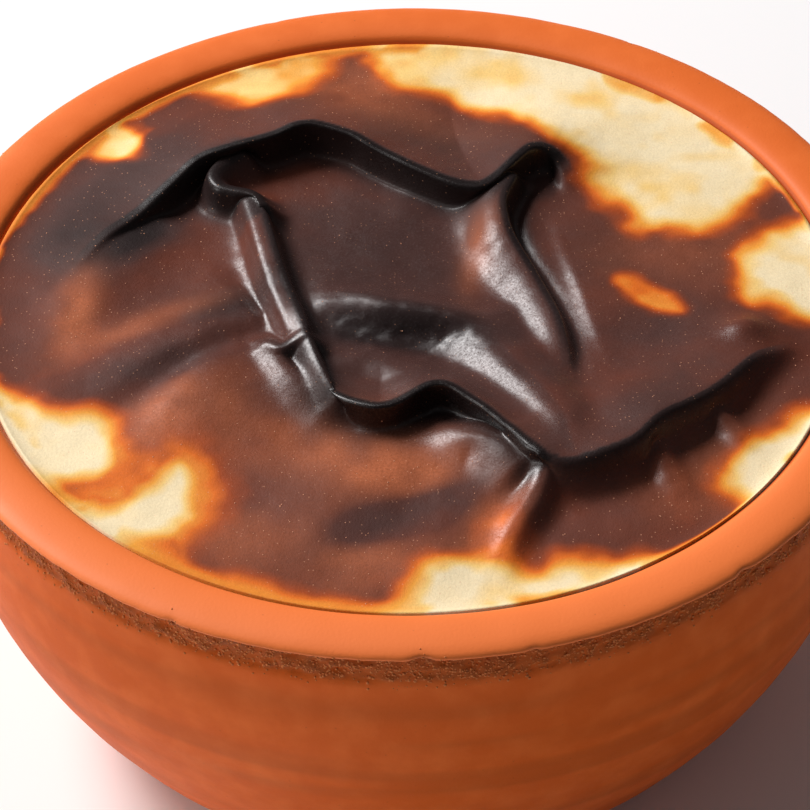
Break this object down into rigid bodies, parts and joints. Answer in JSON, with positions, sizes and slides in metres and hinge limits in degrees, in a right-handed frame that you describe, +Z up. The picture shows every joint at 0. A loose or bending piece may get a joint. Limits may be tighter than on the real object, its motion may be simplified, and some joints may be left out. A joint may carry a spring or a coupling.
{
  "type": "rice pudding in a clay bowl",
  "caption": "Oven-baked rice pudding with a dark, wrinkled skin, filling a small round unglazed clay bowl to its rim.",
  "frame": {"origin": "middle of the foot's flat underside", "axes": "+Z up through the middle of the bowl; -Y is the front, towards which the long back fold of the skin falls"},
  "size_m": [0.1184, 0.1184, 0.0585],
  "materials": {
    "clay": "unglazed, fine-grained, matt",
    "browned_pudding": "satin skin, dark brown to near black, with cream and amber patches near the wall"
  },
  "bodies": {
    "root": {"bowl": "clay", "pudding": "browned_pudding"}
  },
  "joints": []
}
